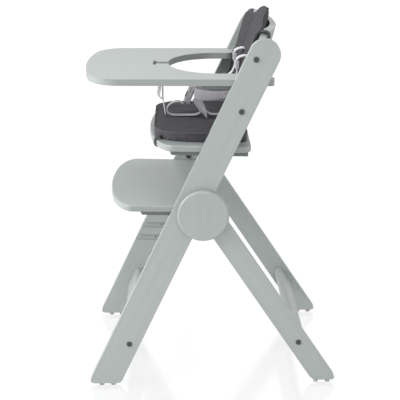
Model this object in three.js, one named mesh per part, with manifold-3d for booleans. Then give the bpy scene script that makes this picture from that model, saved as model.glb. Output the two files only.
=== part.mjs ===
// Wooden baby high chair: two lambda-shaped side frames, plates slid into grooves,
// a bent back shell, a tray, two pads and a five-point harness.
// Millimetres. +Z is up, the child faces -Y, X runs across the chair.
import * as THREE from 'three';
import { mergeVertices } from 'three/addons/utils/BufferGeometryUtils.js';
import Module from 'manifold-3d';

const wasm = await Module();
wasm.setup();

const RAD = Math.PI / 180;

// ---------- driving dimensions ----------
const GAP = 0.3;                       // air between touching pieces
const FRAME_HALF = 235;                // centre plane to a side frame's outer face
const BOARD_THICK = 22;
const INNER = FRAME_HALF - BOARD_THICK; // centre plane to a side frame's inner face

const GLIDE_HIGH = 8;
const GLIDE_RADIUS = 6;
const GLIDE_Y = [-267.6, -239.6, 249.1, 278.1];

const FRONT = { lean: 25.75, width: 70, capY: 121.6, capZ: 798.5, toeRound: 13, heelRound: 9 };
const REAR = { lean: -33.05, width: 50, footY: 269.6, toeRound: 11.6 };

const DISC = { y: -19.5, z: 430, radius: 60, thick: 16 };
const JOINT_BOLT_AT = [[-49.2, 454.4], [3, 418]];

const STRETCHER = { wide: 62, thick: 21 };
const STRETCHER_FRONT = { y: -198, z: 109, lean: FRONT.lean };
const STRETCHER_REAR = { y: 205.6, z: 107.5, lean: REAR.lean };

const BACK_TILT = 15.3;                // back shell, from upright
const BACK_BOLTS = [[101.6, 788.9], [69.3, 670.7]];
const SHELL = { half: 211.5, thick: 15, sag: 37, low: -32, high: 186, round: 52, lowRound: 30 };
const SHELL_NOTCH = { inner: 180, low: 49, high: 85 };   // lets the tray's rails pass
const SHELL_SLOT = { x: 58, up: 95, wide: 36, high: 9 };

const PLATE = 15;                      // thickness of tray, seat and footrest
const PLATE_HALF = 217;                // the plates' edges run in the grooves
const GROOVE_DEEP = 5;
const GROOVE_SPARE = 0.8;              // groove height beyond the plate
const GROOVE_PITCH = 35.5;
const LOCATING_HOLE = { radius: 2.3, deep: 9, up: 8.5, back: 16 };

const TRAY = { top: 742, tilt: 0.8, front: -293.4, rear: 145, bow: 12, flat: 140, corner: 77, heel: 11 };
const TRAY_CUT = { half: 143, y: 20, deep: 117, armEnd: 66, armRound: 18, railHalf: 187, railRound: 8 };
const TRAY_SLOT = { stemHalf: 13.5, crossHalf: 26, crossFront: -133, crossRear: -126 };
const SEAT = { top: 587.1, tilt: 1.9, front: -143.6, rear: 93.4, bow: 9, flat: 126, corner: 50, heel: 24 };
const FOOT = { top: 442.3, tilt: 1.9, front: -241, rear: -15, bow: 10, flat: 130, corner: 48, heel: 24 };

const RUNNER = { wide: 13, high: 8, outer: 212.4, nose: 6 };
const TRAY_RUNNER = [-19.4, 60];
const SEAT_RUNNER = [-93.2, 86];
const FOOT_RUNNER = [-163.8, -24];

const BOLT = { head: 6.5, headHigh: 2.2, shaft: 3, hole: 3.5 };
const JOINT_BOLT = { head: 7, headHigh: 3, shaft: 3, hole: 3.5, into: 9 };

const SEAT_PAD = { half: 184, front: -135, rear: 90, thick: 24, round: 34, frontRound: 58 };
const BACK_PAD = { half: 196, frontMiddle: -7, frontSag: 12, rearMiddle: 22, rearSag: 28, low: -26, lowRound: 28 };
const BACK_PAD_TOP = [[196, 140], [195, 164], [188, 177], [172, 183], [140, 187], [100, 191], [52, 206], [0, 215]];
const PAD_STRAP = { x: 186, wide: 17, thick: 1.6, low: 116, high: 168 };

const WEB = { wide: 25, thick: 2 };    // harness webbing
const BUCKLE = { y: -45, z: 667, tilt: 22.7, half: 21, high: 48, thick: 14 };
const TONGUE = { up: 12, blade: 11, bladeWide: 14, plateWide: 31, end: 40, thick: 4 };
const BUTTON = { radius: 8, high: 3.4, recess: 3.2, up: -4 };
const ADJUSTER = { y: 67, z: 748, wide: 38, deep: 9, high: 18 };

// ---------- finishes ----------
function finish(color, roughness, metalness = 0) {
  return new THREE.MeshStandardMaterial({ color, roughness, metalness });
}
const lacquer = finish(0xa9b0ad, 0.5);
const lacquerPale = finish(0xc2c9c7, 0.5);
const runnerGrey = finish(0x6f7674, 0.6);
const steelDark = finish(0x4b4f4e, 0.4, 0.7);
const glidePlastic = finish(0xb9bdbb, 0.55);
const padCloth = finish(0x57555b, 0.95);
const webbing = finish(0xb4b1b8, 0.85);
const bucklePlastic = finish(0xa7a6ab, 0.45);
const darkPlastic = finish(0x3a393c, 0.5);

// ---------- building helpers ----------
const UP_THE_SIDE = new THREE.Matrix4().makeBasis(
  new THREE.Vector3(0, 1, 0), new THREE.Vector3(0, 0, 1), new THREE.Vector3(1, 0, 0));

function extrude(shape, depth, curveSegments = 12) {
  return new THREE.ExtrudeGeometry(shape, { depth, bevelEnabled: false, curveSegments });
}
// a side outline in (y, z), from x0 to x1
function extrudeAcross(shape, x0, x1, curveSegments) {
  return extrude(shape, x1 - x0, curveSegments).applyMatrix4(UP_THE_SIDE).translate(x0, 0, 0);
}
// a plan outline in (x, y), from z0 up to z1
function extrudeUp(shape, z0, z1, curveSegments) {
  return extrude(shape, z1 - z0, curveSegments).translate(0, 0, z0);
}
function block(x0, x1, y0, y1, z0, z1) {
  return new THREE.BoxGeometry(x1 - x0, y1 - y0, z1 - z0)
    .translate((x0 + x1) / 2, (y0 + y1) / 2, (z0 + z1) / 2);
}
function rodAcross(x0, x1, y, z, radius, sides = 20) {
  return new THREE.CylinderGeometry(radius, radius, x1 - x0, sides)
    .rotateZ(Math.PI / 2).translate((x0 + x1) / 2, y, z);
}
function toSolid(geometry) {
  const bare = geometry.clone();
  bare.deleteAttribute('normal');
  bare.deleteAttribute('uv');
  const merged = mergeVertices(bare, 1e-4);
  return new wasm.Manifold(new wasm.Mesh({
    numProp: 3,
    vertProperties: new Float32Array(merged.attributes.position.array),
    triVerts: new Uint32Array(merged.index.array),
  }));
}
function toGeometry(solid) {
  const { vertProperties, triVerts } = solid.getMesh();
  const geometry = new THREE.BufferGeometry();
  geometry.setAttribute('position', new THREE.BufferAttribute(new Float32Array(vertProperties), 3));
  geometry.setIndex(new THREE.BufferAttribute(new Uint32Array(triVerts), 1));
  return geometry;
}
function cut(geometry, cutters) {
  return toGeometry(cutters.reduce((solid, cutter) => solid.subtract(toSolid(cutter)), toSolid(geometry)));
}
function join(...pieces) {
  return toGeometry(pieces.map(toSolid).reduce((whole, piece) => whole.add(piece)));
}
function common(a, b) {
  return toGeometry(toSolid(a).intersect(toSolid(b)));
}

const chair = new THREE.Group();
function place(name, geometry, material, parent = chair) {
  const mesh = new THREE.Mesh(geometry, material);
  mesh.name = name;
  parent.add(mesh);
  return mesh;
}
const SIDES = [['left', -1], ['right', 1]];
// both faces of a side frame, inner first, on the given side
function slab(sign, near, far) {
  return sign > 0 ? [near, far] : [-far, -near];
}

// ---------- slanted frames of reference ----------
// local z = 0 is the plate's top; local y runs rearwards along it
function plateFrame({ top, tilt }) {
  return new THREE.Matrix4().makeTranslation(0, 0, top)
    .multiply(new THREE.Matrix4().makeRotationX(-tilt * RAD));
}
// local y = 0 is the shell's bolt line, local z runs up along it from the lower bolt
function backFrame() {
  const [y, z] = BACK_BOLTS[1];
  return new THREE.Matrix4().makeTranslation(0, y, z)
    .multiply(new THREE.Matrix4().makeRotationX(-BACK_TILT * RAD));
}
function slantedGroup(matrix) {
  const group = new THREE.Group();
  matrix.decompose(group.position, group.quaternion, group.scale);
  chair.add(group);
  return group;
}

// ---------- side frames ----------
const lean = (deg) => Math.tan(deg * RAD);
const frontMiddle = (z) => FRONT.capY - (FRONT.capZ - z) * lean(FRONT.lean);
const frontHalf = FRONT.width / 2 / Math.cos(FRONT.lean * RAD);
const rearMiddle = (z) => REAR.footY + (z - GLIDE_HIGH) * lean(REAR.lean);
const rearHalf = REAR.width / 2 / Math.cos(REAR.lean * RAD);

function frontBoardOutline() {
  const slope = lean(FRONT.lean);
  const toe = frontMiddle(GLIDE_HIGH) - frontHalf;
  const heel = frontMiddle(GLIDE_HIGH) + frontHalf;
  const { toeRound, heelRound } = FRONT;
  const shape = new THREE.Shape();
  shape.moveTo(toe + toeRound * 1.3, GLIDE_HIGH);
  shape.lineTo(heel - heelRound, GLIDE_HIGH);
  shape.quadraticCurveTo(heel, GLIDE_HIGH, heel + heelRound * slope, GLIDE_HIGH + heelRound);
  shape.absarc(FRONT.capY, FRONT.capZ, FRONT.width / 2, -FRONT.lean * RAD, Math.PI - FRONT.lean * RAD);
  shape.lineTo(toe + toeRound * 1.2 * slope, GLIDE_HIGH + toeRound * 1.2);
  shape.quadraticCurveTo(toe, GLIDE_HIGH, toe + toeRound * 1.3, GLIDE_HIGH);
  return shape;
}
function rearLegOutline() {
  const slope = lean(REAR.lean);
  // the leg is cut off along the front board's rear edge
  const meet = (side) => {
    const rise = (REAR.footY + side * rearHalf - frontMiddle(GLIDE_HIGH) - frontHalf - GAP * 2)
      / (lean(FRONT.lean) - slope);
    return [REAR.footY + side * rearHalf + rise * slope, GLIDE_HIGH + rise];
  };
  const heel = REAR.footY - rearHalf;
  const toe = REAR.footY + rearHalf;
  const { toeRound } = REAR;
  const shape = new THREE.Shape();
  shape.moveTo(heel + toeRound, GLIDE_HIGH);
  shape.lineTo(toe - toeRound * 1.4, GLIDE_HIGH);
  shape.quadraticCurveTo(toe, GLIDE_HIGH, toe + toeRound * 1.2 * slope, GLIDE_HIGH + toeRound * 1.2);
  shape.lineTo(...meet(1));
  shape.lineTo(...meet(-1));
  shape.lineTo(heel + toeRound * slope, GLIDE_HIGH + toeRound);
  shape.quadraticCurveTo(heel, GLIDE_HIGH, heel + toeRound, GLIDE_HIGH);
  return shape;
}
// one groove right across the board, with its locating hole
function grooveCutters(sign, plate, steps) {
  const [x0, x1] = slab(sign, INNER - 5, INNER + GROOVE_DEEP);
  const [h0, h1] = slab(sign, INNER, INNER + LOCATING_HOLE.deep);
  const low = -PLATE - GROOVE_SPARE / 2;
  const shift = new THREE.Matrix4().makeTranslation(0, 0, -steps * GROOVE_PITCH);
  const matrix = shift.multiply(plateFrame(plate));
  const middle = frontMiddle(plate.top - steps * GROOVE_PITCH - PLATE / 2);
  const reach = 90;
  return [
    block(x0, x1, middle - reach, middle + reach, low, low + PLATE + GROOVE_SPARE).applyMatrix4(matrix),
    rodAcross(h0, h1, middle + LOCATING_HOLE.back, low + LOCATING_HOLE.up, LOCATING_HOLE.radius, 12)
      .applyMatrix4(matrix),
  ];
}
const FOOT_GROOVES = [-1, 0, 1, 2, 3, 4, 5, 6];
const SEAT_GROOVES = [-1, 0, 1];
for (const [side, sign] of SIDES) {
  const [in0, out0] = slab(sign, INNER, FRAME_HALF);
  const through = ([y, z], radius) => rodAcross(in0 - 4, out0 + 4, y, z, radius, 16);
  const grooves = [
    ...FOOT_GROOVES.map((steps) => grooveCutters(sign, FOOT, steps)),
    ...SEAT_GROOVES.map((steps) => grooveCutters(sign, SEAT, steps)),
    grooveCutters(sign, TRAY, 0),
  ].flat();
  const frontHoles = [
    ...BACK_BOLTS, JOINT_BOLT_AT[0], [STRETCHER_FRONT.y, STRETCHER_FRONT.z],
  ].map((at) => through(at, BOLT.hole));
  place(`front_board_${side}`, cut(extrudeAcross(frontBoardOutline(), in0, out0, 24),
    [...grooves, ...frontHoles]), lacquer);

  const rearHoles = [JOINT_BOLT_AT[1], [STRETCHER_REAR.y, STRETCHER_REAR.z]]
    .map((at) => through(at, BOLT.hole));
  place(`rear_leg_${side}`, cut(extrudeAcross(rearLegOutline(), in0, out0, 6), rearHoles), lacquer);

  const [d0, d1] = slab(sign, FRAME_HALF + GAP, FRAME_HALF + GAP + DISC.thick);
  const [b0, b1] = slab(sign, FRAME_HALF, FRAME_HALF + JOINT_BOLT.into + 1);
  place(`joint_disc_${side}`, cut(rodAcross(d0, d1, DISC.y, DISC.z, DISC.radius, 72),
    JOINT_BOLT_AT.map(([y, z]) => rodAcross(b0, b1, y, z, JOINT_BOLT.hole, 16))), lacquer);
}

// ---------- bolts ----------
// a low round head on an outer or inner face, with its shaft along X
function boltGeometry(sign, face, headSide, { head, headHigh, shaft }, shaftEnd, y, z) {
  const h = [face + headSide * GAP, face + headSide * (GAP + headHigh)].sort((a, b) => a - b);
  const s = [h[0] + 0.5, shaftEnd].sort((a, b) => a - b);
  const [h0, h1] = slab(sign, ...h);
  const [s0, s1] = slab(sign, ...s);
  return join(rodAcross(h0, h1, y, z, head, 20), rodAcross(s0, s1, y, z, shaft, 12));
}
const STRETCHER_END = INNER - GAP;
const SHELL_BOLT_DEEP = 12;
const STRETCHER_BOLT_DEEP = 40;
for (const [side, sign] of SIDES) {
  BACK_BOLTS.forEach(([y, z], i) => place(`back_bolt_${side}_${i + 1}`,
    boltGeometry(sign, FRAME_HALF, 1, BOLT, SHELL.half - SHELL_BOLT_DEEP + 1, y, z), steelDark));
  [STRETCHER_FRONT, STRETCHER_REAR].forEach(({ y, z }, i) => place(
    `stretcher_bolt_${['front', 'rear'][i]}_${side}`,
    boltGeometry(sign, FRAME_HALF, 1, BOLT, STRETCHER_END - STRETCHER_BOLT_DEEP + 2, y, z), steelDark));
  JOINT_BOLT_AT.forEach(([y, z], i) => place(`joint_bolt_${['front', 'rear'][i]}_${side}`,
    boltGeometry(sign, INNER, -1, JOINT_BOLT, FRAME_HALF + JOINT_BOLT.into, y, z), steelDark));
}

// ---------- stretchers ----------
function stretcherOutline() {
  const half = STRETCHER.thick / 2;
  const straight = STRETCHER.wide / 2 - half;
  const shape = new THREE.Shape();
  shape.absarc(0, straight, half, 0, Math.PI);
  shape.absarc(0, -straight, half, Math.PI, 2 * Math.PI);
  return shape;
}
function stretcher({ y, z, lean: slant }) {
  const bar = extrudeAcross(stretcherOutline(), -STRETCHER_END, STRETCHER_END, 8)
    .rotateX(-slant * RAD).translate(0, y, z);
  const holes = [-1, 1].map((sign) => {
    const [x0, x1] = slab(sign, STRETCHER_END - STRETCHER_BOLT_DEEP, STRETCHER_END + 1);
    return rodAcross(x0, x1, y, z, BOLT.hole, 16);
  });
  return cut(bar, holes);
}
place('front_stretcher', stretcher(STRETCHER_FRONT), lacquer);
place('rear_stretcher', stretcher(STRETCHER_REAR), lacquer);

// ---------- foot glides ----------
for (const [side, sign] of SIDES) {
  GLIDE_Y.forEach((y, i) => {
    const profile = [[0, 0], [GLIDE_RADIUS - 1.2, 0], [GLIDE_RADIUS, 1.2],
      [GLIDE_RADIUS, GLIDE_HIGH - GAP], [0, GLIDE_HIGH - GAP]].map((p) => new THREE.Vector2(...p));
    const glide = place(`glide_${['front', 'rear'][i >> 1]}_${side}_${(i % 2) + 1}`,
      new THREE.LatheGeometry(profile, 20).rotateX(Math.PI / 2), glidePlastic);
    glide.position.set(sign * (INNER + BOARD_THICK / 2), y, 0);
  });
}

// ---------- plates and their runners ----------
// bowed front, large front corners, small rear corners; (x, y) in the plate's own plane
function plateOutline({ front, rear, bow, flat, corner, heel }, half = PLATE_HALF) {
  const hold = corner * 0.55;
  const along = new THREE.Vector2(flat, -2 * bow).normalize().multiplyScalar(hold);
  const shape = new THREE.Shape();
  shape.moveTo(half, rear - heel);
  shape.absarc(half - heel, rear - heel, heel, 0, Math.PI / 2);
  shape.absarc(heel - half, rear - heel, heel, Math.PI / 2, Math.PI);
  shape.lineTo(-half, front + bow + corner);
  shape.bezierCurveTo(-half, front + bow + corner - hold, -flat - along.x, front + bow - along.y,
    -flat, front + bow);
  shape.quadraticCurveTo(0, front - bow, flat, front + bow);
  shape.bezierCurveTo(flat + along.x, front + bow - along.y, half, front + bow + corner - hold,
    half, front + bow + corner);
  return shape;
}
function runnerOutline([y0, y1]) {
  const low = -PLATE - GAP - RUNNER.high;
  const shape = new THREE.Shape();
  shape.moveTo(y0 + RUNNER.nose, low);
  shape.lineTo(y1, low);
  shape.lineTo(y1, -PLATE - GAP);
  shape.lineTo(y0, -PLATE - GAP);
  shape.quadraticCurveTo(y0 + 1, low, y0 + RUNNER.nose, low);
  return shape;
}
function addRunners(name, reach, group) {
  for (const [side, sign] of SIDES) {
    const [x0, x1] = slab(sign, RUNNER.outer - RUNNER.wide, RUNNER.outer);
    place(`${name}_runner_${side}`, extrudeAcross(runnerOutline(reach), x0, x1, 5), runnerGrey, group);
  }
}
function trayCutters() {
  const { half, y, deep, armEnd, armRound, railHalf, railRound } = TRAY_CUT;
  // wide arms round the child, then a narrow rail on each side that runs on past the back
  const opening = new THREE.Shape();
  opening.moveTo(railHalf, TRAY.rear + 20);
  opening.lineTo(-railHalf, TRAY.rear + 20);
  opening.lineTo(-railHalf, armEnd + railRound);
  opening.quadraticCurveTo(-railHalf, armEnd, railRound - railHalf, armEnd);
  opening.lineTo(-half - armRound, armEnd);
  opening.quadraticCurveTo(-half, armEnd, -half, armEnd - armRound);
  opening.lineTo(-half, y);
  opening.absellipse(0, y, half, deep, Math.PI, 2 * Math.PI);
  opening.lineTo(half, armEnd - armRound);
  opening.quadraticCurveTo(half, armEnd, half + armRound, armEnd);
  opening.lineTo(railHalf - railRound, armEnd);
  opening.quadraticCurveTo(railHalf, armEnd, railHalf, armEnd + railRound);
  const { stemHalf, crossHalf, crossFront, crossRear } = TRAY_SLOT;
  return [
    extrudeUp(opening, -PLATE - 5, 5, 30),
    block(-stemHalf, stemHalf, crossRear - 1, y - deep + 12, -PLATE - 5, 5),
    block(-crossHalf, crossHalf, crossFront, crossRear, -PLATE - 5, 5),
  ];
}
const trayGroup = slantedGroup(plateFrame(TRAY));
place('tray_board', cut(extrudeUp(plateOutline(TRAY), -PLATE, 0, 20),
  trayCutters()), lacquerPale, trayGroup);
addRunners('tray', TRAY_RUNNER, trayGroup);

const seatGroup = slantedGroup(plateFrame(SEAT));
place('seat_plate', extrudeUp(plateOutline(SEAT), -PLATE, 0, 16), lacquerPale, seatGroup);
addRunners('seat', SEAT_RUNNER, seatGroup);

const footGroup = slantedGroup(plateFrame(FOOT));
place('footrest_plate', extrudeUp(plateOutline(FOOT), -PLATE, 0, 16), lacquerPale, footGroup);
addRunners('footrest', FOOT_RUNNER, footGroup);

// ---------- bent back shell ----------
// concave towards the child: its side edges lie on the bolt line
const shellRadius = (SHELL.half ** 2 + SHELL.sag ** 2) / (2 * SHELL.sag);
// a band of the given thickness, its rear face offset from the shell's middle surface
function bentBand(half, offsetFront, offsetRear, low, high) {
  const centre = SHELL.sag - shellRadius;
  const swing = Math.asin(half / shellRadius) * 1.15;
  const shape = new THREE.Shape();
  shape.absarc(0, centre, shellRadius + offsetRear, Math.PI / 2 - swing, Math.PI / 2 + swing);
  shape.absarc(0, centre, shellRadius + offsetFront, Math.PI / 2 + swing, Math.PI / 2 - swing, true);
  return extrudeUp(shape, low, high, 28);
}
// the flat outline seen from the front, as a cutter that reaches through the band
function frontOutline(half, low, high, round, lowRound) {
  const shape = new THREE.Shape();
  shape.absarc(half - lowRound, low + lowRound, lowRound, -Math.PI / 2, 0);
  shape.absarc(half - round, high - round, round, 0, Math.PI / 2);
  shape.absarc(round - half, high - round, round, Math.PI / 2, Math.PI);
  shape.absarc(lowRound - half, low + lowRound, lowRound, Math.PI, Math.PI * 1.5);
  return extrude(shape, 400, 10).rotateX(Math.PI / 2).translate(0, 200, 0);
}
const backGroup = slantedGroup(backFrame());
// the two slots the shoulder straps pass through
function strapSlots(reach) {
  const { x, up, wide, high } = SHELL_SLOT;
  return [-1, 1].map((sign) => block(sign * x - wide / 2, sign * x + wide / 2, reach, 80, up, up + high));
}
function backShell() {
  const band = bentBand(SHELL.half, -SHELL.thick / 2, SHELL.thick / 2, SHELL.low, SHELL.high);
  const outline = frontOutline(SHELL.half, SHELL.low, SHELL.high, SHELL.round, SHELL.lowRound);
  const toGroup = backFrame().invert();
  const boltHoles = BACK_BOLTS.flatMap(([y, z]) => [-1, 1].map((sign) => {
    const [x0, x1] = slab(sign, SHELL.half - SHELL_BOLT_DEEP, SHELL.half + 2);
    return rodAcross(x0, x1, y, z, BOLT.hole, 12).applyMatrix4(toGroup);
  }));
  return cut(common(band, outline), [...boltHoles, ...railNotches(SHELL_NOTCH.inner), ...strapSlots(-40)]);
}
place('back_shell', backShell(), lacquer, backGroup);

// ---------- pads ----------
function roundedPlan({ half, front, rear, round, frontRound }) {
  const shape = new THREE.Shape();
  shape.absarc(half - round, rear - round, round, 0, Math.PI / 2);
  shape.absarc(round - half, rear - round, round, Math.PI / 2, Math.PI);
  shape.absarc(frontRound - half, front + frontRound, frontRound, Math.PI, Math.PI * 1.5);
  shape.absarc(half - frontRound, front + frontRound, frontRound, Math.PI * 1.5, Math.PI * 2);
  return shape;
}
place('seat_pad', extrudeUp(roundedPlan(SEAT_PAD), 1, SEAT_PAD.thick, 6), padCloth, seatGroup);

// the back pad lies across the shell's hollow and rises above its top edge in the middle
function backPadOutline() {
  const { half, low, lowRound } = BACK_PAD;
  const right = BACK_PAD_TOP.map((p) => new THREE.Vector2(...p));
  const left = BACK_PAD_TOP.slice(0, -1).reverse().map(([x, up]) => new THREE.Vector2(-x, up));
  const shape = new THREE.Shape();
  shape.absarc(half - lowRound, low + lowRound, lowRound, -Math.PI / 2, 0);
  shape.lineTo(...BACK_PAD_TOP[0]);
  shape.splineThru([...right.slice(1), ...left]);
  shape.absarc(lowRound - half, low + lowRound, lowRound, Math.PI, Math.PI * 1.5);
  return extrude(shape, 400, 3).rotateX(Math.PI / 2).translate(0, 200, 0);
}
function railNotches(inner) {
  const { low, high } = SHELL_NOTCH;
  return [-1, 1].map((sign) => block(...slab(sign, inner, SHELL.half + 5), -60, 60, low, high));
}
function backPad() {
  const { half, frontMiddle, frontSag, rearMiddle, rearSag, low } = BACK_PAD;
  const plan = new THREE.Shape();
  plan.moveTo(half, frontMiddle - frontSag);
  plan.lineTo(half, rearMiddle - rearSag);
  plan.quadraticCurveTo(0, rearMiddle + rearSag, -half, rearMiddle - rearSag);
  plan.lineTo(-half, frontMiddle - frontSag);
  plan.quadraticCurveTo(0, frontMiddle + frontSag, half, frontMiddle - frontSag);
  const slice = extrudeUp(plan, low - 1, 220, 16);
  return cut(common(slice, backPadOutline()), [...strapSlots(-60), ...railNotches(SHELL_NOTCH.inner + 1)]);
}
place('back_pad', backPad(), padCloth, backGroup);

// short straps that hold the pad down the shell's rear face
for (const [side, sign] of SIDES) {
  const { x, wide, thick, low, high } = PAD_STRAP;
  const [x0, x1] = slab(sign, x - wide / 2, x + wide / 2);
  const rear = SHELL.thick / 2 + GAP * 2;
  place(`pad_strap_${side}`, common(bentBand(SHELL.half, rear, rear + thick, low, high),
    block(x0, x1, -100, 200, low - 1, high + 1)), padCloth, backGroup);
}

// ---------- harness ----------
// a strip of webbing along a run of (a, b) points, as a flat outline of its edge
function strapOutline(points, steps = 3, thick = WEB.thick) {
  const curve = new THREE.SplineCurve(points.map((p) => new THREE.Vector2(...p)));
  const count = (points.length - 1) * steps;
  const edge = (offset) => Array.from({ length: count + 1 }, (_, i) => {
    const at = curve.getPoint(i / count);
    const along = curve.getTangent(i / count);
    return new THREE.Vector2(at.x - along.y * offset, at.y + along.x * offset);
  });
  return new THREE.Shape([...edge(-thick / 2), ...edge(thick / 2).reverse()]);
}
// a strap whose run is in (y, z) and whose width lies along X
function flatStrap(points, x, width = WEB.wide, steps) {
  return extrudeAcross(strapOutline(points, steps), x - width / 2, x + width / 2);
}
// moves every corner sideways by an amount that depends on its height
function swayX(geometry, amount) {
  const at = geometry.attributes.position;
  for (let i = 0; i < at.count; i += 1) {
    at.setX(i, at.getX(i) + amount(at.getZ(i)));
  }
  return geometry;
}

// shoulder straps: out of the shell, through the adjusters, down to the buckle's top
const SHOULDER_RUN = [[150, 751.5], [120, 759.6], [89.3, 768.3], [79, 767.6], [72.5, 765.5], [68.3, 762.2], [67, 758],
  [67, 733], [66, 723], [57, 710.5], [41, 703], [10, 698.5], [-20, 697]];
const shoulderX = (z) => 26 + 32 * THREE.MathUtils.smoothstep(z, 697, 730);
const adjusterBlock = (x, deep, wide, high) => block(x - wide / 2, x + wide / 2,
  ADJUSTER.y - deep / 2, ADJUSTER.y + deep / 2, ADJUSTER.z - high / 2, ADJUSTER.z + high / 2);
for (const [side, sign] of SIDES) {
  place(`shoulder_strap_${side}`, swayX(flatStrap(SHOULDER_RUN, 0), (z) => sign * shoulderX(z)), webbing);
  const x = sign * shoulderX(ADJUSTER.z);
  const { deep, wide, high } = ADJUSTER;
  place(`strap_adjuster_${side}`, cut(adjusterBlock(x, deep, wide, high),
    [adjusterBlock(x, 4.4, WEB.wide + 7, high + 4)]), bucklePlastic);
}

// buckle, in its own frame: x across, y towards the rear, z up along it
const buckleMatrix = new THREE.Matrix4().makeTranslation(0, BUCKLE.y, BUCKLE.z)
  .multiply(new THREE.Matrix4().makeRotationX(-BUCKLE.tilt * RAD));
const buckleGroup = slantedGroup(buckleMatrix);
function roundedRect(x0, x1, y0, y1, r) {
  const shape = new THREE.Shape();
  shape.absarc(x1 - r, y1 - r, r, 0, Math.PI / 2);
  shape.absarc(x0 + r, y1 - r, r, Math.PI / 2, Math.PI);
  shape.absarc(x0 + r, y0 + r, r, Math.PI, Math.PI * 1.5);
  shape.absarc(x1 - r, y0 + r, r, Math.PI * 1.5, Math.PI * 2);
  return shape;
}
// a plate seen from the front, y0 to y1 deep
function frontPlate(shape, y0, y1, curveSegments = 5) {
  return extrude(shape, y1 - y0, curveSegments).rotateX(Math.PI / 2).translate(0, y1, 0);
}
function buckleBody() {
  const { half, high, thick } = BUCKLE;
  const shell = frontPlate(roundedRect(-half, half, -high / 2, high / 2, 9), -thick / 2, thick / 2);
  const pocket = (sign) => block(...slab(sign, half - 12, half + 2), -TONGUE.thick / 2 - 0.8, TONGUE.thick / 2 + 0.8,
    TONGUE.up - TONGUE.bladeWide / 2 - 0.8, TONGUE.up + TONGUE.bladeWide / 2 + 0.8);
  const recess = new THREE.CylinderGeometry(BUTTON.radius + 0.5, BUTTON.radius + 0.5, BUTTON.recess + 2, 28)
    .translate(0, -thick / 2 + BUTTON.recess - (BUTTON.recess + 2) / 2, BUTTON.up);
  return cut(shell, [pocket(-1), pocket(1), recess]);
}
place('buckle_body', buckleBody(), bucklePlastic, buckleGroup);
const buttonRear = -BUCKLE.thick / 2 + BUTTON.recess - 1.8;
place('buckle_button', new THREE.CylinderGeometry(BUTTON.radius, BUTTON.radius, BUTTON.high, 28)
  .translate(0, buttonRear - BUTTON.high / 2, BUTTON.up), darkPlastic, buckleGroup);

for (const [side, sign] of SIDES) {
  const { up, blade, bladeWide, plateWide, end, thick } = TONGUE;
  const box = (x0, x1, halfWide, deep = thick) => block(...slab(sign, x0, x1), -deep / 2, deep / 2,
    up - halfWide, up + halfWide);
  const plate = join(box(blade, BUCKLE.half + 4, bladeWide / 2), box(BUCKLE.half + 1, end, plateWide / 2));
  place(`tongue_${side}`, cut(plate, [box(end - 9, end - 4, WEB.wide / 2 + 0.6, thick + 4)]),
    bucklePlastic, buckleGroup);
}

// waist straps: upright bands from the tongues back to the back pad
const WAIST_RUN = [[42, -35], [60, -14], [90, 12], [125, 36], [150, 52]];
const waistRise = (y) => 673.5 + 0.006 * (y + 20) ** 2 - 0.000025 * (y + 20) ** 3;
for (const [side, sign] of SIDES) {
  const forward = side === "left" ? 0.07 : 0;
  const run = WAIST_RUN.map(([x, y]) => [sign * x, y - forward * (y + 35)]);
  const band = extrudeUp(strapOutline(run), -WEB.wide / 2, WEB.wide / 2);
  const at = band.attributes.position;
  const droop = side === "left" ? 0.19 : 0;
  for (let i = 0; i < at.count; i += 1) {
    at.setZ(i, at.getZ(i) + waistRise(at.getY(i)) - droop * (at.getY(i) + 35));
  }
  place(`waist_strap_${side}`, band, webbing);
}
// crotch strap, its broad side turned to the right, from the pad up to the buckle's right tongue
const CROTCH = { x: 30, outline: [[-15, 614.8], [0, 614.4], [-10, 642], [-19, 661.8], [-38, 661.5], [-26, 642]] };
place('crotch_strap', extrudeAcross(new THREE.Shape(CROTCH.outline.map((p) => new THREE.Vector2(...p))),
  CROTCH.x - WEB.thick / 2, CROTCH.x + WEB.thick / 2), webbing);
// its loose tail comes down behind it and lies on the pad
place('crotch_tail', flatStrap([[-24, 664], [-15, 648], [-8, 631], [3, 618.5], [22, 615], [46, 613.8]], 17, 18),
  webbing);
// its slack lies on the pad as an open loop
place('crotch_loop', flatStrap([[-62, 645.5], [-72, 652], [-90, 648], [-100.5, 637], [-99, 625], [-88, 618.2],
  [-58, 616], [-33, 616.5], [-20, 624]], 17, 24), webbing);

// tray strap: a bar in the tray's slot, webbing down to the seat pad
const { crossHalf, crossFront, crossRear, stemHalf } = TRAY_SLOT;
place('tray_strap_bar', block(1 - crossHalf, crossHalf - 1, crossFront + 0.9, crossRear - 0.9, -12, -1.5),
  darkPlastic, trayGroup);
const TRAY_STRAP_RUN = [[-126, 739], [-119, 738.5], [-112.6, 733], [-111, 720], [-111, 690], [-110.9, 656],
  [-107.5, 630], [-106, 617.6]];
place('tray_strap', flatStrap(TRAY_STRAP_RUN, 0, 2 * stemHalf - 2), webbing);

export default chair;
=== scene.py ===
import math

import bmesh
import bpy
from bpy.props import FloatProperty, FloatVectorProperty, IntProperty, PointerProperty
from mathutils import Matrix, Vector, noise


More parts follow.
